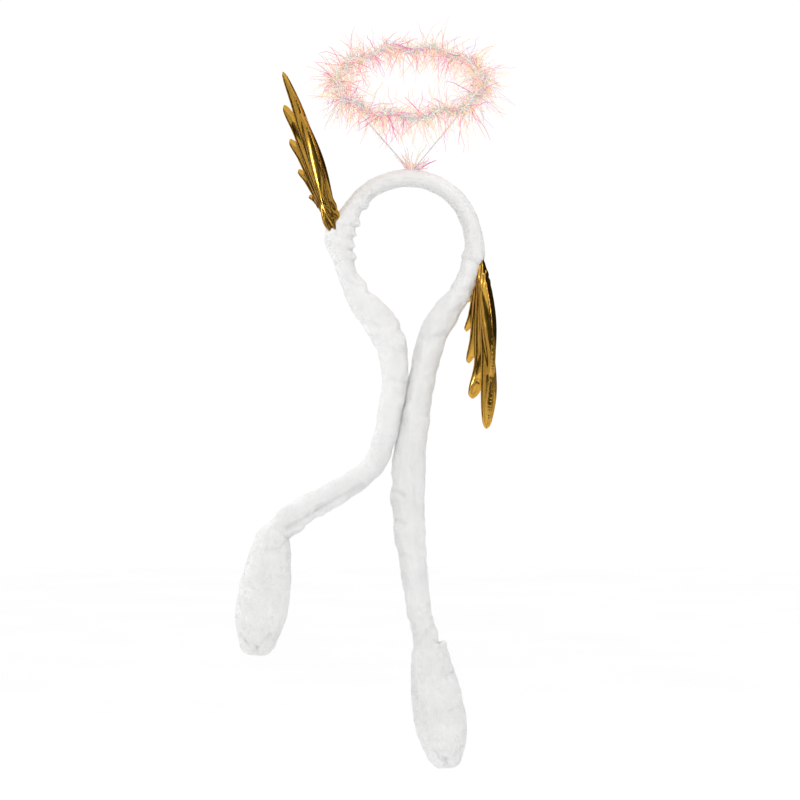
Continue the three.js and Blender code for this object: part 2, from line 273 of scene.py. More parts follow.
# %% Copy and net
WELD = 0.02 * MM  # points closer than this are joined


def new_piece(name, mesh):
    piece = bpy.data.objects.new(name, mesh)
    scene.collection.objects.link(piece)
    return piece


def merged_copy(node, name):
    """A copy of a solid with its loose triangles joined."""
    mesh = nodes[node].data.copy()
    mesh.materials.clear()
    form = bmesh.new()
    form.from_mesh(mesh)
    bmesh.ops.remove_doubles(form, verts=form.verts, dist=WELD)
    form.to_mesh(mesh)
    form.free()
    mesh.name = name
    return new_piece(name, mesh)


def bake(piece):
    """Turns the evaluated shape into the piece's own mesh and drops its modifiers."""
    graph = bpy.context.evaluated_depsgraph_get()
    graph.update()
    shape = piece.evaluated_get(graph)
    mesh = bpy.data.meshes.new_from_object(shape, preserve_all_data_layers=True, depsgraph=graph)
    old = piece.data
    piece.modifiers.clear()
    piece.data = mesh
    mesh.name = piece.name
    bpy.data.meshes.remove(old)


def net(piece, cell, smooth):
    """An even quad net over the shape, with its facets smoothed away."""
    remesh = piece.modifiers.new("net", "REMESH")
    remesh.mode = "VOXEL"
    remesh.voxel_size = cell * MM
    calm = piece.modifiers.new("calm", "SMOOTH")
    calm.factor = 0.5
    calm.iterations = smooth
    bake(piece)


def refine(piece):
    """Splits each quad of the net into four and shades the skin smooth."""
    subdivision = piece.modifiers.new("refine", "SUBSURF")
    subdivision.levels = subdivision.render_levels = 1
    bake(piece)
    piece.data.polygons.foreach_set("use_smooth", [True] * len(piece.data.polygons))


# %% [markdown]
# The cloth's springs pull to their length, and the air pushes out. A little spare cloth makes it pucker. How
# far the skin may move is capped, and it fades to nothing towards the sewn ends, so neighbours still meet.

# %% Cloth
CLOTH_FRAMES = 16
CLOTH = dict(quality=4, mass=0.15, tension_stiffness=12, compression_stiffness=12, shear_stiffness=4,
             bending_stiffness=0.3, use_pressure=True)


def blow_up(piece, free, pressure, spare, cap):
    """Cloth with air inside. free says how far each point may follow it, from 0 to 1; cap is in mm."""
    before = coordinates(piece)
    held = piece.vertex_groups.new(name="held")
    held.add([int(i) for i in np.flatnonzero(free <= 0)], 1.0, "REPLACE")
    cloth = piece.modifiers.new("cloth", "CLOTH")
    for key, value in CLOTH.items():
        setattr(cloth.settings, key, value)
    cloth.settings.uniform_pressure_force = pressure
    cloth.settings.shrink_min = -spare
    cloth.settings.effector_weights.gravity = 0
    cloth.settings.vertex_group_mass = held.name
    cloth.point_cache.frame_start = 1
    cloth.point_cache.frame_end = CLOTH_FRAMES
    for step in range(1, CLOTH_FRAMES + 1):
        scene.frame_set(step)
    bake(piece)
    scene.frame_set(1)
    moved = coordinates(piece) - before
    reach = np.linalg.norm(moved, axis=1, keepdims=True)
    share = np.minimum(1, cap * MM / np.maximum(reach, 1e-9)) * free[:, None]
    set_coordinates(piece, before + moved * share)
    piece.vertex_groups.clear()
    print(piece.name, "swells by up to", round(float((reach * share).max() / MM), 1), "mm")


# %% [markdown]
# ## Creases
# Some folds are not chance: the left sleeve creases along its length where it lies over the hose, the bulbs
# are pinched shut at the end, and the cloth nips in where a sleeve turns. Each is a line, as seen from the
# front, along which the skin is pressed in.

# %% Crease table
# Points (x, z), depth and half width in mm.
CREASES = {
    "arm_left": [
        ([(-44, -299), (-72, -314), (-99, -329), (-119, -341)], 4.0, 3.8),
        ([(-66, -91), (-56, -97)], 1.3, 3.2),
        ([(-34, -112), (-38, -126)], 1.2, 3.5),
        ([(-44, -136), (-28, -141), (-18, -139)], 1.5, 3.4),
        ([(-33, -163), (-22, -166)], 1.2, 3.0),
        ([(-3, -196), (-16, -193)], 1.6, 3.0),
        ([(-36, -250), (-26, -255)], 1.4, 3.0),
        ([(-44, -272), (-36, -284)], 1.3, 3.2),
        ([(-72, -296), (-77, -306)], 1.2, 3.0),
    ],
    "arm_right": [
        ([(7, -280), (9, -320), (12, -360), (15, -395)], 1.7, 3.6),
        ([(52, -121), (42, -127)], 1.4, 3.2),
        ([(39, -148), (27, -151)], 1.5, 3.0),
        ([(10, -150), (19, -156)], 1.2, 3.0),
        ([(32, -176), (20, -181)], 1.3, 3.0),
        ([(22, -226), (12, -229)], 1.2, 3.0),
        ([(-15, -304), (-5, -308)], 1.8, 2.8),
        ([(-13, -333), (-3, -337)], 1.6, 2.8),
        ([(-8, -368), (2, -370)], 1.5, 2.8),
        ([(22, -418), (12, -421)], 1.2, 2.8),
    ],
    "pump_left": [
        ([(-116, -350), (-126, -360), (-140, -363)], 2.0, 3.0),
        ([(-152, -472), (-151, -460)], 5.0, 3.2),
        ([(-167, -449), (-159, -458)], 2.2, 2.6),
        ([(-137, -447), (-145, -457)], 2.2, 2.6),
        ([(-158, -396), (-150, -401)], 1.3, 2.6),
    ],
    "pump_right": [
        ([(38, -584), (37, -571)], 5.0, 3.2),
        ([(25, -562), (32, -570)], 2.2, 2.6),
        ([(54, -559), (46, -569)], 2.2, 2.6),
        ([(46, -484), (38, -488)], 1.5, 2.4),
        ([(50, -519), (42, -523)], 1.3, 2.4),
    ],
    "band": [([(-80, -52), (-74, -62), (-71, -72)], 1.2, 3.0)],
}

# %% Pressing the creases
FRONT = (-0.05, 0.35)  # how squarely the skin faces the front, from no crease to all of it


def distance_to_line(points, line):
    near = np.full(len(points), np.inf)
    for start, end in zip(line[:-1], line[1:]):
        run = end - start
        share = np.clip((points - start) @ run / (run @ run), 0, 1)
        near = np.minimum(near, np.linalg.norm(points - start - share[:, None] * run, axis=1))
    return near


def press_creases(piece, rows):
    """Pushes the front of the skin in along each crease."""
    points = coordinates(piece)
    outward = normals(piece)
    front = smooth_step(-outward[:, 1], *FRONT)
    for line, depth, width in rows:
        near = distance_to_line(points[:, [0, 2]], np.array(line) * MM)
        points -= outward * (front * depth * MM * np.exp(-((near / (width * MM)) ** 2)))[:, None]
    set_coordinates(piece, points)


# %% [markdown]
# Inside the arch the plush is gathered into small lips, most of them down the left leg. The net has softened
# them, so each is drawn out again towards the middle of the arch: a slow rise, then a short step back.

# %% Gathers inside the arch
ARCH_CENTRE = np.array((0, 0, -57)) * MM
# Angle from the top, positive to the right, and height in mm.
GATHERS = [(-50, 2.0), (-69, 3.2), (-80, 3.2), (-93, 3.0), (-105, 3.0), (104, 2.0)]
GATHER_RISE, GATHER_FALL = 8.0, 2.4  # degrees
INNER_SIDE = (0.2, 0.9)  # how squarely the skin faces the middle, from no lip to all of it


def draw_gathers(piece):
    points = coordinates(piece)
    spoke = points - ARCH_CENTRE
    spoke[:, 1] = 0
    angle = np.degrees(np.arctan2(spoke[:, 0], spoke[:, 2]))
    spoke /= np.linalg.norm(spoke, axis=1, keepdims=True)
    inside = smooth_step(-(normals(piece) * spoke).sum(axis=1), *INNER_SIDE)
    lift = np.zeros(len(points))
    for where, height in GATHERS:
        past = (angle - where) * np.sign(where)
        lip = np.where(past < 0, 1 + past / GATHER_RISE, 1 - past / GATHER_FALL)
        lift = np.maximum(lift, height * np.clip(lip, 0, 1))
    set_coordinates(piece, points - spoke * (lift * inside * MM)[:, None])


# %% [markdown]
# Plush over a hose never lies quite straight. A soft noise, about a finger's breadth from swell to swell,
# moves the skin in and out by about a millimetre. Where the two sleeves pass each other, each leans a little
# towards the other until they touch.

# %% Ruffles and leaning sleeves
RUFFLE_SIZE = 10 * MM
# Middle of the lean, its reach and the sideways shift, in mm.
LEANS = {
    "arm_left": dict(middle=(-12, 0, -210), reach=24, shift=1.7),
    "arm_right": dict(middle=(9, 0, -210), reach=24, shift=-1.6),
}


def ruffle(piece, height):
    points = coordinates(piece)
    swell = np.array([noise.noise(Vector(point) / RUFFLE_SIZE) for point in points])
    set_coordinates(piece, points + normals(piece) * (height * MM * swell)[:, None])


def lean(piece, middle, reach, shift):
    points = coordinates(piece)
    far = np.linalg.norm(points - np.array(middle) * MM, axis=1)
    points[:, 0] += shift * MM * np.exp(-((far / (reach * MM)) ** 2))
    set_coordinates(piece, points)


# %% [markdown]
# ## Pile
# The fibres repeat over the whole skin, so Geometry Nodes plant them: points scattered over the faces, one
# slim three-sided spike on each, leaned from the skin's normal by the way the pile is brushed and by chance.
# The tree ends by realizing the instances, because a plain mesh is what is kept.

# %% Node tree helpers
def new_tree(name, **inputs):
    """A tree with inputs listed by kind: the tree, their identifiers and sockets, and its end node."""
    tree = bpy.data.node_groups.new(name, "GeometryNodeTree")
    tree.is_modifier = True
    add_socket = tree.interface.new_socket
    for side in ("OUTPUT", "INPUT"):
        add_socket(name="Geometry", in_out=side, socket_type="NodeSocketGeometry")
    names = {}
    for kind, labels in inputs.items():
        for label in labels.split():
            names[label] = add_socket(name=label, in_out="INPUT", socket_type="NodeSocket" + kind).identifier
    return tree, names, tree.nodes.new("NodeGroupInput").outputs, tree.nodes.new("NodeGroupOutput")


def random_value(tree, low, high, seed):
    """A random number, or a random vector where low and high are vectors."""
    kind, first, result = ("FLOAT_VECTOR", 0, 0) if isinstance(low, tuple) else ("FLOAT", 2, 1)
    node = add_node(tree, "FunctionNodeRandomValue", data_type=kind, Seed=seed)
    feed(node, {first: low, first + 1: high})
    return node.outputs[result]


def calculate(operation, first, second=0.0):
    """One sum on numbers, nodes or sockets, which know their tree."""
    tree = getattr(first, "id_data", None) or second.id_data
    node = add_node(tree, "ShaderNodeMath", operation=operation)
    feed(node, {0: first, 1: second})
    return node


def times(first, second):
    return calculate("MULTIPLY", first, second)


def add_vectors(*sockets):
    total = sockets[0]
    for socket in sockets[1:]:
        node = add_node(total.id_data, "ShaderNodeVectorMath", operation="ADD")
        feed(node, {0: total, 1: socket})
        total = node
    return total


def scale_vector(vector, size):
    node = add_node(vector.id_data, "ShaderNodeVectorMath", operation="SCALE", Scale=size)
    feed(node, {0: vector})
    return node


def store(geometry, name, domain, value, kind="FLOAT"):
    """Keeps a value for each point or instance as an attribute."""
    return add_node(geometry.id_data, "GeometryNodeStoreNamedAttribute", data_type=kind, domain=domain,
                    Name=name, Geometry=geometry, Value=value)


def end_tree(tree, out, geometry, material):
    """The end of every tree: a plain mesh in its material."""
    real = add_node(tree, "GeometryNodeRealizeInstances", Geometry=geometry)
    dress = add_node(tree, "GeometryNodeSetMaterial", Geometry=real, Material=material)
    feed(out, {"Geometry": dress})


def run_tree(piece, tree, names, values):
    """Sets a tree's inputs by identifier, evaluates it and keeps the plain mesh."""
    modifier = piece.modifiers.new(tree.name, "NODES")
    modifier.node_group = tree
    for label, value in values.items():
        modifier[names[label]] = value
    bake(piece)


# %% Pile tree
FIBRE_LEAN = 0.4  # how far chance leans a fibre
# The fibres get random tones. The skin's value paints shade between them, a little greyer than most fibres.
FIBRE_SIZES, FIBRE_SHADES, SKIN_PAINTED_SHADE = (0.7, 1.25), (0.5, 1.0), 0.6


def pile_tree():
    tree, names, given, out = new_tree(
        "plush_pile", Float="Density Length Thickness", Vector="Brush", Int="Seed", Material="Plush")
    scatter = add_node(tree, "GeometryNodeDistributePointsOnFaces", distribute_method="RANDOM",
                       Mesh=given["Geometry"], Density=given["Density"], Seed=given["Seed"])
    spike = add_node(tree, "GeometryNodeMeshCone", fill_type="NONE", Vertices=3, Depth=given["Length"])
    feed(spike, {"Radius Top": 0, "Radius Bottom": given["Thickness"]})
    chance = random_value(tree, (-FIBRE_LEAN,) * 3, (FIBRE_LEAN,) * 3, 3)
    direction = add_vectors(scatter.outputs["Normal"], given["Brush"], chance)
    turn = add_node(tree, "FunctionNodeAlignRotationToVector", axis="Z", Vector=direction)
    plant = add_node(tree, "GeometryNodeInstanceOnPoints", Points=scatter, Instance=spike, Rotation=turn,
                     Scale=random_value(tree, *FIBRE_SIZES, 5))
    fibres = store(plant, "shade", "INSTANCE", random_value(tree, *FIBRE_SHADES, 7))
    # Painted shade on the skin between the fibres.
    skin = store(given["Geometry"], "shade", "POINT", SKIN_PAINTED_SHADE)
    join = tree.nodes.new("GeometryNodeJoinGeometry")
    for part in (fibres, skin):
        feed(join, {"Geometry": part})
    end_tree(tree, out, join, given["Plush"])
    return tree, names


PILE, PILE_INPUTS = pile_tree()
print("pile tree:", len(PILE.nodes), "nodes")

# %% [markdown]
# ## Band, sleeves and bulbs
# All five plush pieces go the same way: copy, net, blow up, refine, soften the ends, ruffle, crease, plant
# the pile. On the real headband the sleeves run on from the band in one tube, so each sleeve's top is drawn
# a little way into the band and no gap shows at the seam. Each bulb's rim is drawn in round its sleeve. The
# right bulb keeps a ledge on its right, and the end of the right sleeve swells to fill it.

# %% Plush table
# Cell of the net in mm, rounds of smoothing, pressure, share of spare cloth, cap and height of ruffles in mm.
BAND = dict(cell=1.7, smooth=2, pressure=2.0, spare=0.02, cap=0.7, swell=0.6)
SLEEVE = dict(cell=2.6, smooth=4, pressure=3.0, spare=0.06, cap=1.5, swell=1.4)
BULB = dict(cell=2.2, smooth=3, pressure=3.0, spare=0.05, cap=1.6, swell=1.0)
PLUSH_PIECES = {"band": BAND, "arm_left": SLEEVE, "arm_right": SLEEVE, "pump_left": BULB, "pump_right": BULB}
PILE_SIZE = {"Density": 1.05e6, "Length": 1.3 * MM, "Thickness": 0.24 * MM, "Brush": (0.0, 0.0, -0.9)}

# %% Seams and hems
SEAM = np.array((63, 0, -78.4)) * MM  # middle of the right seam between band and sleeve
SEAM_UP = np.array((0.309, 0, 0.951))  # from the right sleeve into the band
MIRROR = np.array((-1, 1, 1))
TUCK = 7 * MM  # how far a sleeve's top is drawn into the band
TOP_DEPTH = 0.7 * MM  # the top's points lie no deeper than this below the seam
HEM_REACH = 14 * MM
END_RADIUS = 30 * MM  # a point farther from the axis is no part of the end
LEDGE_SIDE = (-0.2, 0.7)  # how far to the right, as a share, from no ledge to all of it
# The tops of the bulbs and the end of the right sleeve: middle in mm, direction in degrees from straight up,
# share by which the rim is drawn in, how far it runs on in mm, and how much less of both on the right.
# Below 0 the sleeve swells, most on the right.
HEMS = {
    "pump_left": dict(middle=(-133, 0, -338), tilt=9, drawn=0.42, rise=1, ledge=0.55),
    "pump_right": dict(middle=(19, 0, -450.5), tilt=-9.2, drawn=0.27, rise=10, ledge=1.5),
    "arm_right": dict(middle=(20, 0, -460), tilt=170.8, drawn=-0.12, rise=4, ledge=-1.8),
}
BAND_END = dict(reach=10 * MM, drawn=0.22)  # the same for the band's ends


def tuck_in(piece, turn):
    """Draws a sleeve's top end into the band. turn mirrors the seam for the left sleeve."""
    points = coordinates(piece)
    top = (points - SEAM * turn) @ (SEAM_UP * turn) > -TOP_DEPTH
    points[top] += SEAM_UP * turn * TUCK
    set_coordinates(piece, points)


def ease_in(piece, middle, outward, reach, drawn, rise=0.0, ledge=0.0):
    """Draws the rim of an open end in, and out along its neighbour, less so where a ledge stays."""
    points = coordinates(piece)
    spoke = points - middle
    height = spoke @ outward
    radial = spoke - np.outer(height, outward)
    far = np.linalg.norm(radial, axis=1)
    share = smooth_step(height, -reach, 0) * (far < END_RADIUS)
    share *= 1 - ledge * smooth_step(radial[:, 0] / np.maximum(far, 1e-9), *LEDGE_SIDE)
    set_coordinates(piece, points - radial * (drawn * share)[:, None] + np.outer(rise * share, outward))


def soft_ends(piece, node):
    if node == "band":
        for turn in (1, MIRROR):
            ease_in(piece, SEAM * turn, -SEAM_UP * turn, **BAND_END)
    if node in HEMS:
        hem = HEMS[node]
        tilt = radians(hem["tilt"])
        outward = np.array((sin(tilt), 0, cos(tilt)))
        middle = np.array(hem["middle"]) * MM
        ease_in(piece, middle, outward, HEM_REACH, hem["drawn"], hem["rise"] * MM, hem["ledge"])


# %% Plush pieces
# Nearer to a seam or its lowest point than the first number a skin is held; from the second on it is free.
SEAM_HOLD = (16 * MM, 45 * MM)
FOOT_HOLD = (5 * MM, 15 * MM)


def finish_piece(piece, node):
    """Says what body a piece rides on and hides its solid."""
    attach(piece, "root")
    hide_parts(node)
    print(piece.name, sum(len(face.vertices) - 2 for face in piece.data.polygons), "triangles")


def freedom(points):
    from_seam = np.minimum(*(np.linalg.norm(points - SEAM * turn, axis=1) for turn in (1, MIRROR)))
    from_foot = points[:, 2] - points[:, 2].min()
    return smooth_step(from_seam, *SEAM_HOLD) * smooth_step(from_foot, *FOOT_HOLD)


def plush_piece(node, seed, cell, smooth, pressure, spare, cap, swell):
    piece = merged_copy(node, "plush_" + node)
    if node.startswith("arm"):
        tuck_in(piece, MIRROR if node == "arm_left" else 1)
    net(piece, cell, smooth)
    blow_up(piece, freedom(coordinates(piece)), pressure, spare, cap)
    refine(piece)
    soft_ends(piece, node)
    if node in LEANS:
        lean(piece, **LEANS[node])
    ruffle(piece, swell)
    press_creases(piece, CREASES[node])
    if node == "band":
        draw_gathers(piece)
    run_tree(piece, PILE, PILE_INPUTS, {**PILE_SIZE, "Seed": seed, "Plush": PLUSH})
    finish_piece(piece, node)


for seed, (node, how) in enumerate(PLUSH_PIECES.items()):
    plush_piece(node, seed, **how)

# %% [markdown]
# ## Gold foil
# The wings are cut from foil-faced vinyl: a mirror that has been handled. It is bright gold where it faces a
# lamp, brown to black where it faces something dark, and covered in shallow dents with finer crinkles on
# them. Noise makes its wear, dents and crinkles. An attribute that is high where the foil is hollow, along
# the seams and between the feathers, paints shade there: the gold darkens to brown-black in the hollows.

# %% Gold material
def gold_material():
    material, tree, shader = new_material("gold_foil")
    # Painted shade: the seam attribute, high in the hollows, darkens the gold towards brown-black.
    gold_and_painted_hollow_shade = ramp(attribute(tree, "seam"), [
        (0.0, (0.62, 0.345, 0.05)), (0.55, (0.52, 0.28, 0.04)), (1.0, (0.16, 0.075, 0.012))])
    wear = ramp(grain(tree, Scale=70.0, Detail=3.0), [(0.35, (0.13,) * 3), (0.7, (0.27,) * 3)])
    dents = bump(grain(tree, Scale=42.0, Detail=2.0, Roughness=0.5, Distortion=0.5), 0.16, 2 * MM)
    crinkle = bump(grain(tree, Scale=240.0, Detail=2.0), 0.05, 0.4 * MM)
    feed(crinkle, {"Normal": dents})
    feed(shader, {
        "Base Color": gold_and_painted_hollow_shade, "Roughness": wear, "Normal": crinkle, "Metallic": 1.0,
        "Specular Tint": (0.92, 0.62, 0.20, 1), "Coat Weight": 0.3, "Coat Roughness": 0.12})
    return material


GOLD = gold_material()
print("made", GOLD.name)

# %% [markdown]
# ## Padded wings
# A wing is two faces of foil sewn together round the outline, stuffed, and quilted between the feathers. The
# solid is faceted, and foil would mirror every facet, so the feathers are drawn again from the same sizes as
# smooth lobes. Each wing has its own axes: across its thickness, back over the feathers, and up from the
# root to the tip.

# %% Feather table
# Each row: where the lobe starts and ends (up, back), its bow, half width and half thickness, in mm.
FEATHERS = [
    ((-8, 0), (42, 1), 0, 12, 6.4),  # root
    ((5, 2), (113, 24), -2, 27, 4.8),  # panel behind the feathers
    ((-1, 0), (116, -8), -13, 14, 7.6),  # leading edge
    ((14, -4), (159, 12), -9, 16.5, 6.6),
    ((11, 0), (130, 37), -5, 16, 6.4),
    ((9, 2), (97, 50), -4, 15, 6.2),
    ((7, 2), (65, 51), -3, 13.5, 5.8),
    ((5, 1), (36, 42), -3, 11, 5.2),
]
WIDENING = (0.62, 0.5, -0.12)  # a lobe's width at its start, per share of its length and per its square
CURL, CURL_REACH = 3.0, 50  # mm that the wing bends out of its plane, this many mm back
SHORT_BACK = 30  # a feather that ends this many mm back is a short one
TIP_CURL, TIP_CURL_FROM = 3.0, 0.72  # mm more at a short feather's end, from this share of its length
THINNING, THINNING_FROM = 0.45, 0.45  # share of padding that a long one loses, from this share of it
BLUNT = 0.62  # below 1, a feather keeps its thickness almost to the end
LENS = 1.75  # 1 is an oval section, 2 a lens with a sharp seam at both sides
WINGS = {
    "wing_left": dict(side=-1, root=(76.5, 0, -36), swing=16.5, flare=12),
    "wing_right": dict(side=1, root=(72.5, 0, -77), swing=176, flare=13),
}


# %% Feathers
def wing_place(side, root, swing, flare):
    turn = Matrix.Rotation(radians(swing), 4, "Y") @ Matrix.Rotation(-radians(flare), 4, "Z")
    return Matrix.Scale(side, 4, (1, 0, 0)) @ Matrix.Translation(Vector(root) * MM) @ turn


def mesh_of(name, parts, material):
    """One smooth mesh from several (points in mm, faces) parts."""
    points, faces, start = [], [], 0
    for vertices, loops in parts:
        points.append(vertices)
        faces += [tuple(start + i for i in loop) for loop in loops]
        start += len(vertices)
    mesh = bpy.data.meshes.new(name)
    mesh.from_pydata((np.concatenate(points) * MM).tolist(), [], faces)
    mesh.polygons.foreach_set("use_smooth", [True] * len(mesh.polygons))
    mesh.materials.append(material)
    return mesh


def tube_faces(rings, sides, closed=False):
    """The quads between rings of points."""
    faces = []
    for i in range(rings if closed else rings - 1):
        here, there = i * sides, (i + 1) % rings * sides
        for k in range(sides):
            n = (k + 1) % sides
            faces.append((here + k, here + n, there + n, there + k))
    return faces


def feather(start, end, bow, half_width, half_thickness, rings=40, sides=36):
    """One smooth padded lobe in the wing's axes, as points in mm and faces."""
    share = (1 - np.cos(np.linspace(0, np.pi, rings + 2)[1:-1])) / 2
    round_ = 2 * np.sqrt(share * (1 - share))
    width = half_width * (WIDENING[0] + WIDENING[1] * share + WIDENING[2] * share**2) * round_
    short = smooth_step(end[1], 0, SHORT_BACK)
    kept = 1 - THINNING * (1 - short) * smooth_step(share, THINNING_FROM, 1)
    padding = half_thickness * kept * round_**BLUNT
    tip = TIP_CURL * smooth_step(share, TIP_CURL_FROM, 1) * short

    turns = np.arange(sides) * 2 * np.pi / sides
    middle = start[1] + (end[1] - start[1]) * share + bow * 4 * share * (1 - share)
    up = start[0] + (end[0] - start[0]) * share
    back = middle[:, None] + np.outer(width, np.cos(turns))
    section = np.sign(np.sin(turns)) * np.abs(np.sin(turns)) ** LENS
    across = np.outer(padding, section) + CURL * (np.maximum(0, back) / CURL_REACH) ** 2 + tip[:, None]
    points = np.stack(np.broadcast_arrays(across, back, up[:, None]), axis=-1).reshape(-1, 3)

    poles = []
    for (u, v), lift in ((start, 0), (end, tip[-1])):
        poles.append((CURL * (max(0, v) / CURL_REACH) ** 2 + lift, v, u))
    faces = tube_faces(rings, sides)
    first, last, far = rings * sides, rings * sides + 1, (rings - 1) * sides
    for k in range(sides):
        n = (k + 1) % sides
        faces += [(first, n, k), (last, far + k, far + n)]
    return np.concatenate((points, poles)), faces


# %% [markdown]
# Sewn lines can't puff up, so the points on the outline and in the valleys between the feathers are held,
# and the cloth swells between them. The outline is where the skin faces sideways; the valleys are where it
# is hollow.

# %% Wing skin
WING_NET = dict(cell=1.4, smooth=2)  # cell in mm and rounds of smoothing
WING_AIR = dict(pressure=5.0, spare=0.0, cap=1.6)
VALLEY = 0.05  # mm below its neighbours, from which a point lies in a valley
SIDEWAYS = 0.25  # a skin that faces across the wing by less than this is the outline


def neighbour_mean(piece):
    points = coordinates(piece)
    ends = np.empty(len(piece.data.edges) * 2, dtype=int)
    piece.data.edges.foreach_get("vertices", ends)
    first, second = ends.reshape(-1, 2).T
    total, count = np.zeros_like(points), np.zeros(len(points))
    for here, there in ((first, second), (second, first)):
        np.add.at(total, here, points[there])
        np.add.at(count, here, 1)
    return total / count[:, None]


def hollowness(piece):
    """How far each point lies below its neighbours, in mm; valleys are above 0."""
    return ((neighbour_mean(piece) - coordinates(piece)) * normals(piece)).sum(axis=1) / MM


def iron(piece, rounds):
    """Takes the small wrinkles out of a skin."""
    for _ in range(rounds):
        set_coordinates(piece, (coordinates(piece) + neighbour_mean(piece)) / 2)


def wing_skin(name, place):
    lobes = [feather(*row) for row in FEATHERS]
    piece = new_piece(name, mesh_of(name, lobes, GOLD))
    piece.data.transform(place)
    if place.determinant() < 0:
        piece.data.flip_normals()
    net(piece, **WING_NET)
    axes = np.array(place.to_3x3())
    facing = np.abs(normals(piece) @ axes[:, 0])
    sewn = (hollowness(piece) > VALLEY) | (facing < SIDEWAYS)
    blow_up(piece, np.where(sewn, 0.0, 1.0), **WING_AIR)
    iron(piece, 2)
    refine(piece)
    return piece, axes


# %% [markdown]
# Then the sewn edge is drawn out into a narrow welt, the foil is bunched into folds at the root, and it
# spreads a little over the plush there. The right wing hangs, so its stuffing has settled into a fat tip.

# %% Wing pieces
WELT, FOLD, PUCKER = 0.8, 0.6, 0.02  # heights in mm: the sewn edge, folds at the root, ripples on the edge
WELT_SIDE = (0.08, 0.4)  # how squarely the skin faces across the wing, from all of the welt to none
# Distances from the root in mm: where bunching and spreading fade out, and the tip fattens and lengthens.
BUNCHED, SPREAD, FAT_TIP, LONG_TIP = (6, 34), (2, 28), (85, 140), 90
SPREAD_FRONT = (-3, 5)  # mm to the front over which the spreading sets in
# Painted shade: how fast the foil's colour darkens with its hollowness.
PAINTED_HOLLOW_SHADE = 8  # how fast the foil darkens with its hollowness
# How much fatter and longer the tip is, and how far the root spreads forward, down and sideways.
SETTLING = {
    "wing_left": dict(fat=0.0, long=0.02, forward=4, down=8, sideways=0.9),
    "wing_right": dict(fat=0.8, long=0.09, forward=1, down=0, sideways=0.1),
}


def wing_piece(node, place, fat, long, forward, down, sideways):
    piece, axes = wing_skin("foil_" + node, place)
    points = coordinates(piece)
    outward = normals(piece)
    across, back, up = ((points - np.array(place.translation)) @ np.linalg.inv(axes).T / MM).T
    edge = 1 - smooth_step(np.abs(outward @ axes[:, 0]), *WELT_SIDE)
    bunched = 1 - smooth_step(up, *BUNCHED)
    folds = np.sin(back * 0.9 + across * 1.5 + 1.4 * np.sin(up * 0.16)) * FOLD * bunched
    puckers = np.sin(up * 0.85 + 1.3 * np.sin(up * 0.23 + back * 0.11)) * PUCKER * edge
    points += outward * ((WELT * edge + folds + puckers) * MM)[:, None]
    spread = (1 - smooth_step(up, *SPREAD)) * smooth_step(-back, *SPREAD_FRONT)
    points += np.outer(across * (fat * smooth_step(up, *FAT_TIP) + sideways * spread) * MM, axes[:, 0])
    points += np.outer(-forward * spread * MM, axes[:, 1])
    points += np.outer((long * np.maximum(0, up - LONG_TIP) - down * spread) * MM, axes[:, 2])
    set_coordinates(piece, points)

    # The seam attribute is painted shade: high where the skin is hollow, it darkens the foil there.
    seam = piece.data.attributes.new("seam", "FLOAT", "POINT")
    seam.data.foreach_set("value", np.clip(hollowness(piece) * PAINTED_HOLLOW_SHADE, 0, 1))
    finish_piece(piece, node)


for node, how in WINGS.items():
    wing_piece(node, wing_place(**how), **SETTLING[node])

# %% [markdown]
# ## The halo's wire
# A thin silvery wire makes the ring, and two prongs carry it from a foot that goes into the band. The wire
# is a round section swept along its middle line. A short coil binds each prong to the ring, as on other
# bent-wire halos.

# %% Swept wire
NOT_ALONG = (0.3, 0.5, 0.81)  # a direction that no wire starts in


def sweep(points, radius, sides, closed=False):
    """A round tube along a line of points in mm, as vertices and faces."""
    line = np.array(points, dtype=float)
    ahead = np.roll(line, -1, axis=0) - np.roll(line, 1, axis=0)
    if not closed:
        ahead[0], ahead[-1] = line[1] - line[0], line[-1] - line[-2]
    ahead /= np.linalg.norm(ahead, axis=1, keepdims=True)
    turns = np.arange(sides) * 2 * np.pi / sides
    side = np.cross(ahead[0], NOT_ALONG)
    rings = []
    for place, along in zip(line, ahead):
        side = side - along * (side @ along)
        side /= np.linalg.norm(side)
        other = np.cross(along, side)
        rings.append(place + radius * (np.outer(np.cos(turns), side) + np.outer(np.sin(turns), other)))
    faces = tube_faces(len(line), sides, closed)
    if not closed:
        faces.append(tuple(range(sides - 1, -1, -1)))
        faces.append(tuple((len(line) - 1) * sides + k for k in range(sides)))
    return np.concatenate(rings), faces


# %% Wire material
def wire_material():
    material, tree, shader = new_material("halo_wire")
    drawn = grain(tree, Scale=260.0, Detail=2.0)
    tint = ramp(drawn, [(0.3, (0.74, 0.72, 0.79)), (0.7, (0.90, 0.88, 0.94))])
    feed(shader, {"Base Color": tint, "Metallic": 0.25, "Roughness": 0.38})
    return material


WIRE = wire_material()
print("made", WIRE.name)

# %% Ring, prongs and coils
RING = dict(radius=73.0, centre=np.array((1.5, 0, 105.5)), tilt=radians(35))
FORK_BASE, FORK_FOOT = np.array((3.5, 0, 15)), np.array((3.5, 0, 7))
PRONG_ANGLES = (-36, -144)  # degrees round the ring; the front is -90
WIRE_RADIUS, WIRE_SIDES = 0.6, 8
COIL_HALF, COIL_TURNS = 0.055, 5  # half its length as an angle on the ring, and its turns
COIL_RADIUS, COIL_WIRE = 1.15, 0.32


def on_ring(angle, out=0.0, up=0.0):
    """A point at an angle round the ring, moved out from its middle and up from its plane, in mm."""
    reach = RING["radius"] + out
    flat = np.array((reach * cos(angle), reach * sin(angle), up))
    sine, cosine = sin(RING["tilt"]), cos(RING["tilt"])
    return RING["centre"] + np.array(((1, 0, 0), (0, cosine, -sine), (0, sine, cosine))) @ flat


def round_ring(count):
    """Angles all the way round."""
    return np.linspace(0, 2 * np.pi, count, endpoint=False)


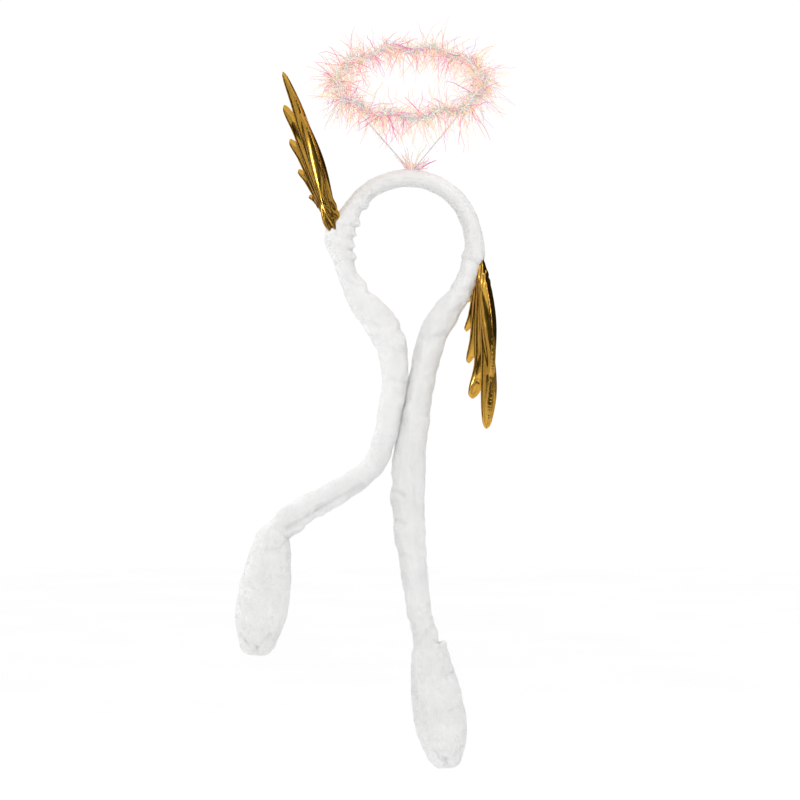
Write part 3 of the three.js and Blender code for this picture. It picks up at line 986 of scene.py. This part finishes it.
def prong(angle):
    """From the foot up to the ring, with a soft elbow where the wire leaves the band."""
    top = on_ring(radians(angle))
    climb = [FORK_BASE + (top - FORK_BASE) * share for share in np.linspace(0.06, 1, 18)]
    elbow = FORK_FOOT * 0.4 + FORK_BASE * 0.6
    return sweep([FORK_FOOT, elbow, *climb], WIRE_RADIUS, WIRE_SIDES)


def coil(angle):
    """A few tight turns of finer wire round the ring."""
    line = []
    for t in np.linspace(-1, 1, 91):
        turn = t * COIL_TURNS * pi
        place = radians(angle) + COIL_HALF * t
        line.append(on_ring(place, COIL_RADIUS * cos(turn), COIL_RADIUS * sin(turn)))
    return sweep(line, COIL_WIRE, 6)


ring = sweep([on_ring(a) for a in round_ring(180)], WIRE_RADIUS, WIRE_SIDES, closed=True)
parts = [ring, *(prong(a) for a in PRONG_ANGLES), *(coil(a) for a in PRONG_ANGLES)]
wire = new_piece("halo_wire", mesh_of("halo_wire", parts, WIRE))
finish_piece(wire, "halo_frame")

# %% [markdown]
# ## Tinsel
# Tinsel is film cut into hairs and twisted between two cords. The film is iridescent: mostly peach and pink,
# with pale yellow, a few strong magentas and a little mint and lilac, and each hair shifts along its length.
# Every hair carries its own number in an attribute, which picks its colour from a ramp, and a second
# attribute runs from root to tip. A thin film adds the play of colour in the highlights. The colour is also
# painted on as a faint glow on hair and cord, painted light that stands in for light coming through the film.

# %% Tinsel material
TINSEL_COLOURS = [
    (0.00, (0.94, 0.62, 0.42)), (0.12, (0.96, 0.76, 0.57)), (0.26, (0.96, 0.88, 0.74)),
    (0.36, (0.92, 0.55, 0.51)), (0.44, (0.96, 0.75, 0.71)), (0.54, (0.95, 0.80, 0.38)),
    (0.64, (0.96, 0.91, 0.70)), (0.74, (0.72, 0.05, 0.42)), (0.79, (0.94, 0.40, 0.70)),
    (0.85, (0.86, 0.32, 0.22)), (0.90, (0.96, 0.74, 0.50)), (0.95, (0.76, 0.88, 0.80)),
    (0.98, (0.70, 0.64, 0.88)),
]
CORD_COLOURS = [
    (0.0, (0.40, 0.45, 0.42)), (0.45, (0.60, 0.66, 0.61)), (0.75, (0.74, 0.73, 0.77)),
    (1.0, (0.90, 0.91, 0.90)),
]


def tinsel_material(name, colours, tip):
    material, tree, shader = new_material(name)
    fade = ramp(attribute(tree, "along"), [(0.15, (1.0, 1.0, 1.0)), (1.0, tip)])
    colour = multiply_colours(ramp(attribute(tree, "hue"), colours), fade)
    feed(shader, {
        # Painted light: the emission makes tinsel and cord glow faintly in their own colour.
        "Base Color": colour, "Emission Color": colour, "Emission Strength": 0.26, "Roughness": 0.3,
        "Thin Film Thickness": 420.0, "Thin Film IOR": 1.55})
    return material


TINSEL = tinsel_material("tinsel", TINSEL_COLOURS, (1.0, 0.92, 0.96))
CORD = tinsel_material("tinsel_cord", CORD_COLOURS, (0.92, 1.0, 0.97))
print("made", TINSEL.name, "and", CORD.name)

# %% [markdown]
# The hairs repeat along a path, so one Geometry Nodes tree makes them all: points along the path, a straight
# hair on each, turned about the path by chance, then bent, drooped by its weight and given a flat section
# that narrows to the tip. The same tree makes the long hairs, the short silvery ones on the cord and the
# tuft at the foot.

# %% Tinsel tree: planting
SPREADS, LIFTS = (0.35, 1.0), (-0.45, 0.45)  # chance: how far a hair stands off and leans along
SHORTNESS = 1.8  # above 1, more of the hairs are short


def plant_hairs(tree, given):
    """Straight hairs along the path, each with a hue and a bend of its own."""
    path = add_node(tree, "GeometryNodeMeshToCurve", Mesh=given["Geometry"])
    spots = add_node(tree, "GeometryNodeCurveToPoints", mode="COUNT", Curve=path, Count=given["Count"])
    spin = add_node(tree, "FunctionNodeAxisAngleToRotation", Axis=spots.outputs["Tangent"],
                    Angle=random_value(tree, 0.0, 2 * pi, 11))
    away = add_node(tree, "FunctionNodeRotateVector", Vector=spots.outputs["Normal"], Rotation=spin)
    spread = times(given["Spread"], random_value(tree, *SPREADS, 12))
    lift = calculate("ADD", given["Lift"], random_value(tree, *LIFTS, 13))
    tangent = scale_vector(spots.outputs["Tangent"], lift)
    direction = add_vectors(scale_vector(away, spread), tangent, given["Lean"])
    turn = add_node(tree, "FunctionNodeAlignRotationToVector", axis="Z", Vector=direction)

    straight = add_node(tree, "GeometryNodeCurvePrimitiveLine", End=(0, 0, 1))
    hair = add_node(tree, "GeometryNodeResampleCurve", mode="COUNT", Curve=straight, Count=given["Points"])
    longer = calculate("SUBTRACT", given["Longest"], given["Shortest"])
    chance = calculate("POWER", random_value(tree, 0.0, 1.0, 14), SHORTNESS)
    length = calculate("ADD", given["Shortest"], times(longer, chance))
    plant = add_node(tree, "GeometryNodeInstanceOnPoints", Points=spots, Instance=hair,
                     Rotation=turn, Scale=length)
    hairs = store(plant, "hue", "INSTANCE", random_value(tree, 0.0, 1.0, 15))
    bend = random_value(tree, (-1,) * 3, (1,) * 3, 16)
    hairs = store(hairs, "bend", "INSTANCE", bend, "FLOAT_VECTOR")
    return add_node(tree, "GeometryNodeRealizeInstances", Geometry=hairs)


# %% Tinsel tree: bending and cutting
WAVES, HEAD_START, TWIST = 11.0, 60.0, 40.0  # radians: crinkle along a hair, and its start and tilt by hue
FLATNESS, TAPER = 0.22, 0.55  # thickness over width, and the share of both that is gone at the tip


def stored(tree, name, kind):
    return add_node(tree, "GeometryNodeInputNamedAttribute", data_type=kind, Name=name)


def bend_hairs(tree, given, hairs, along, squared):
    """Bends each hair more and more towards its tip, crinkles it and tilts it."""
    bend, hue = stored(tree, "bend", "FLOAT_VECTOR"), stored(tree, "hue", "FLOAT")
    sag = add_vectors(scale_vector(bend, given["Curl"]), given["Droop"])
    beat = calculate("ADD", times(along, WAVES), times(hue, HEAD_START))
    wave = times(calculate("SINE", beat), given["Crinkle"])
    across = add_node(tree, "ShaderNodeVectorMath", operation="CROSS_PRODUCT")
    feed(across, {0: bend, 1: tree.nodes.new("GeometryNodeInputTangent")})
    kink = scale_vector(across, times(wave, along))
    shaped = add_node(tree, "GeometryNodeSetPosition", Geometry=hairs,
                      Offset=add_vectors(scale_vector(sag, squared), kink))
    marked = store(shaped, "along", "POINT", along)
    return add_node(tree, "GeometryNodeSetCurveTilt", Curve=marked, Tilt=times(hue, TWIST))


def tinsel_tree():
    tree, names, given, out = new_tree(
        "tinsel_hairs", Int="Count Points", Float="Shortest Longest Width Spread Lift Curl Crinkle",
        Vector="Lean Droop", Material="Tinsel")
    along = tree.nodes.new("GeometryNodeSplineParameter")
    squared = times(along, along)
    hairs = bend_hairs(tree, given, plant_hairs(tree, given), along, squared)
    outline = add_node(tree, "GeometryNodeCurvePrimitiveCircle", mode="RADIUS", Resolution=3, Radius=0.5)
    flat = add_node(tree, "GeometryNodeTransform", Geometry=outline, Scale=(1.0, FLATNESS, 1.0))
    narrowing = calculate("SUBTRACT", 1.0, times(squared, TAPER))
    ribbon = add_node(tree, "GeometryNodeCurveToMesh", Curve=hairs, Scale=times(narrowing, given["Width"]))
    feed(ribbon, {"Profile Curve": flat, "Fill Caps": True})
    end_tree(tree, out, ribbon, given["Tinsel"])
    return tree, names


HAIRS, HAIR_INPUTS = tinsel_tree()
print("tinsel tree:", len(HAIRS.nodes), "nodes")

# %% [markdown]
# ## The garland
# The garland is wound round the ring like a vine, ten turns to the circle. Two plies twist into its cord,
# short silvery hairs stand close on the cord, and long coloured hairs stand out all round.

# %% Cord
WINDINGS, WIND_START, WIND_RADIUS = 10, radians(60), 3.0
PLY_RADIUS, PLY_OFFSET, PLY_TWISTS, PLY_SIDES = 1.15, 1.05, 110, 5


def on_garland(angle, out=0.0, twist=0.0):
    """A point on the garland's middle line, or out from it at a twist."""
    wound = WINDINGS * angle + WIND_START
    reach_out = WIND_RADIUS * cos(wound) + out * cos(twist)
    reach_up = WIND_RADIUS * sin(wound) + out * sin(twist)
    return on_ring(angle, reach_out, reach_up)


def ply(start):
    line = [on_garland(a, PLY_OFFSET, PLY_TWISTS * a + start) for a in round_ring(1500)]
    return sweep(line, PLY_RADIUS, PLY_SIDES, closed=True)


cord = new_piece("garland_cord", mesh_of("garland_cord", [ply(0.0), ply(pi)], CORD))
hue = cord.data.attributes.new("hue", "FLOAT", "POINT")
hue.data.foreach_set("value", np.random.default_rng(4).random(len(cord.data.vertices)))
print("cord of two plies,", PLY_TWISTS, "twists")

# %% Garland
UPRIGHT = {"Spread": 1.0, "Lift": 0.0, "Lean": (0.0, 0.0, 0.0)}
SILVER_HAIRS = {
    **UPRIGHT, "Count": 2700, "Points": 3, "Shortest": 2.5 * MM, "Longest": 8.5 * MM, "Width": 1.2 * MM,
    "Curl": 1.0 * MM, "Crinkle": 0.0, "Droop": (0.0, 0.0, 0.0), "Tinsel": CORD}
LONG_HAIRS = {
    **UPRIGHT, "Count": 2100, "Points": 8, "Shortest": 9 * MM, "Longest": 38 * MM, "Width": 1.15 * MM,
    "Curl": 6 * MM, "Crinkle": 1.6 * MM, "Droop": (0.0, 0.0, -5 * MM), "Tinsel": TINSEL}
COMB_FROM, COMB_SHARE = -78 * MM, 0.5


def path_piece(name, points, closed):
    """A line of points in mm, ready for the tinsel tree."""
    count = len(points)
    edges = [(i, (i + 1) % count) for i in range(count if closed else count - 1)]
    mesh = bpy.data.meshes.new(name)
    mesh.from_pydata((np.array(points) * MM).tolist(), edges, [])
    return new_piece(name, mesh)


def comb_back(piece):
    """Presses the hairs that reach far to the front back by a share, as the packet does."""
    points = coordinates(piece)
    y = points[:, 1]
    points[:, 1] = np.where(y < COMB_FROM, COMB_FROM + (y - COMB_FROM) * COMB_SHARE, y)
    set_coordinates(piece, points)


circle = [on_garland(a) for a in round_ring(400)]
silver = path_piece("garland_silver", circle, True)
run_tree(silver, HAIRS, HAIR_INPUTS, SILVER_HAIRS)
fringe = path_piece("garland_hairs", circle, True)
run_tree(fringe, HAIRS, HAIR_INPUTS, LONG_HAIRS)
comb_back(fringe)
for piece in (cord, silver, fringe):
    finish_piece(piece, "halo_garland")

# %% [markdown]
# ## The tuft
# A last tuft of the same tinsel is tied round the foot of the fork, where it hides the hole in the plush. It
# fans upwards and leans a little to the right.

# %% Tuft
TUFT_LINE = [(3.5, 0, 11), (3.6, 0, 13), (3.8, 0, 15), (4.2, 0, 17)]
TUFT_HAIRS = {
    **LONG_HAIRS, "Count": 40, "Shortest": 14 * MM, "Longest": 36 * MM, "Width": 1.7 * MM, "Spread": 1.25,
    "Lift": 0.9, "Lean": (0.22, 0.0, 0.0), "Curl": 4 * MM, "Droop": (0.0, 0.0, -2 * MM)}
knot = path_piece("foot_tuft", TUFT_LINE, False)
run_tree(knot, HAIRS, HAIR_INPUTS, TUFT_HAIRS)
finish_piece(knot, "stem_tuft")
